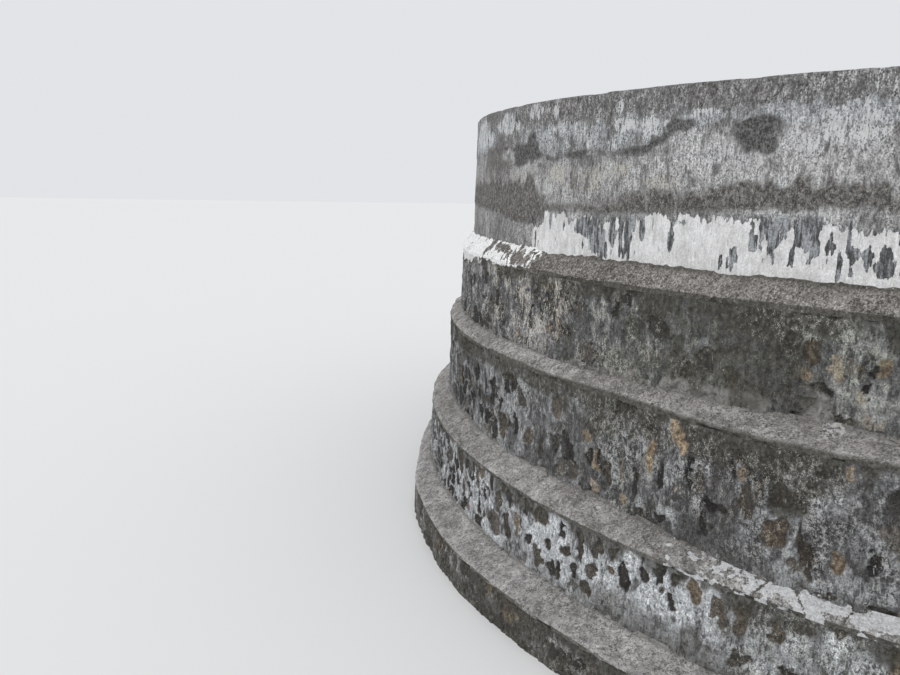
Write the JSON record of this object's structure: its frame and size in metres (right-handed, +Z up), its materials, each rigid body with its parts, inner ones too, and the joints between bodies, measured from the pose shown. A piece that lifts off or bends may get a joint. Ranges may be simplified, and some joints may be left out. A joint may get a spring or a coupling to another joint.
{
  "type": "round stepped masonry bastion",
  "caption": "Round stepped bastion of a river bank: tiers of rubble masonry with sloping mortar ledges under a tall rendered parapet.",
  "frame": {"origin": "centre of the ring, on the flat base of the footing", "axes": "+Z up along the axis of the ring, the shortest way through the part; the pictured side faces the direction between -X and -Y"},
  "size_m": [16.6576, 17.016, 5.325],
  "materials": {
    "rubble": "rough",
    "dark_rubble": "rough",
    "ledge_mortar": "rough",
    "limewash": "rough",
    "render": "rough",
    "coping_mortar": "rough"
  },
  "bodies": {
    "root": {"footing_wall_1": "rubble", "footing_wall_2": "rubble", "footing_wall_3": "rubble", "footing_wall_4": "rubble", "footing_wall_5": "rubble", "footing_wall_6": "rubble", "lower_tier_wall_1": "rubble", "lower_tier_wall_2": "rubble", "lower_tier_wall_3": "rubble", "lower_tier_wall_4": "rubble", "lower_tier_wall_5": "rubble", "lower_tier_wall_6": "rubble", "middle_tier_wall_1": "dark_rubble", "middle_tier_wall_2": "dark_rubble", "middle_tier_wall_3": "dark_rubble", "middle_tier_wall_4": "dark_rubble", "middle_tier_wall_5": "dark_rubble", "middle_tier_wall_6": "dark_rubble", "upper_tier_wall_1": "dark_rubble", "upper_tier_wall_2": "dark_rubble", "upper_tier_wall_3": "dark_rubble", "upper_tier_wall_4": "dark_rubble", "upper_tier_wall_5": "dark_rubble", "upper_tier_wall_6": "dark_rubble", "parapet_wall_1": "render", "parapet_wall_2": "render", "parapet_wall_3": "render", "parapet_wall_4": "render", "parapet_wall_5": "render", "parapet_wall_6": "render", "footing_ledge_1": "ledge_mortar", "footing_ledge_2": "ledge_mortar", "footing_ledge_3": "ledge_mortar", "lower_ledge_1": "ledge_mortar", "lower_ledge_2": "ledge_mortar", "lower_ledge_3": "ledge_mortar", "middle_ledge_1": "ledge_mortar", "middle_ledge_2": "ledge_mortar", "middle_ledge_3": "ledge_mortar", "upper_ledge_1": "limewash", "upper_ledge_2": "limewash", "upper_ledge_3": "limewash", "coping_1": "coping_mortar", "coping_2": "coping_mortar", "coping_3": "coping_mortar"}
  },
  "joints": []
}
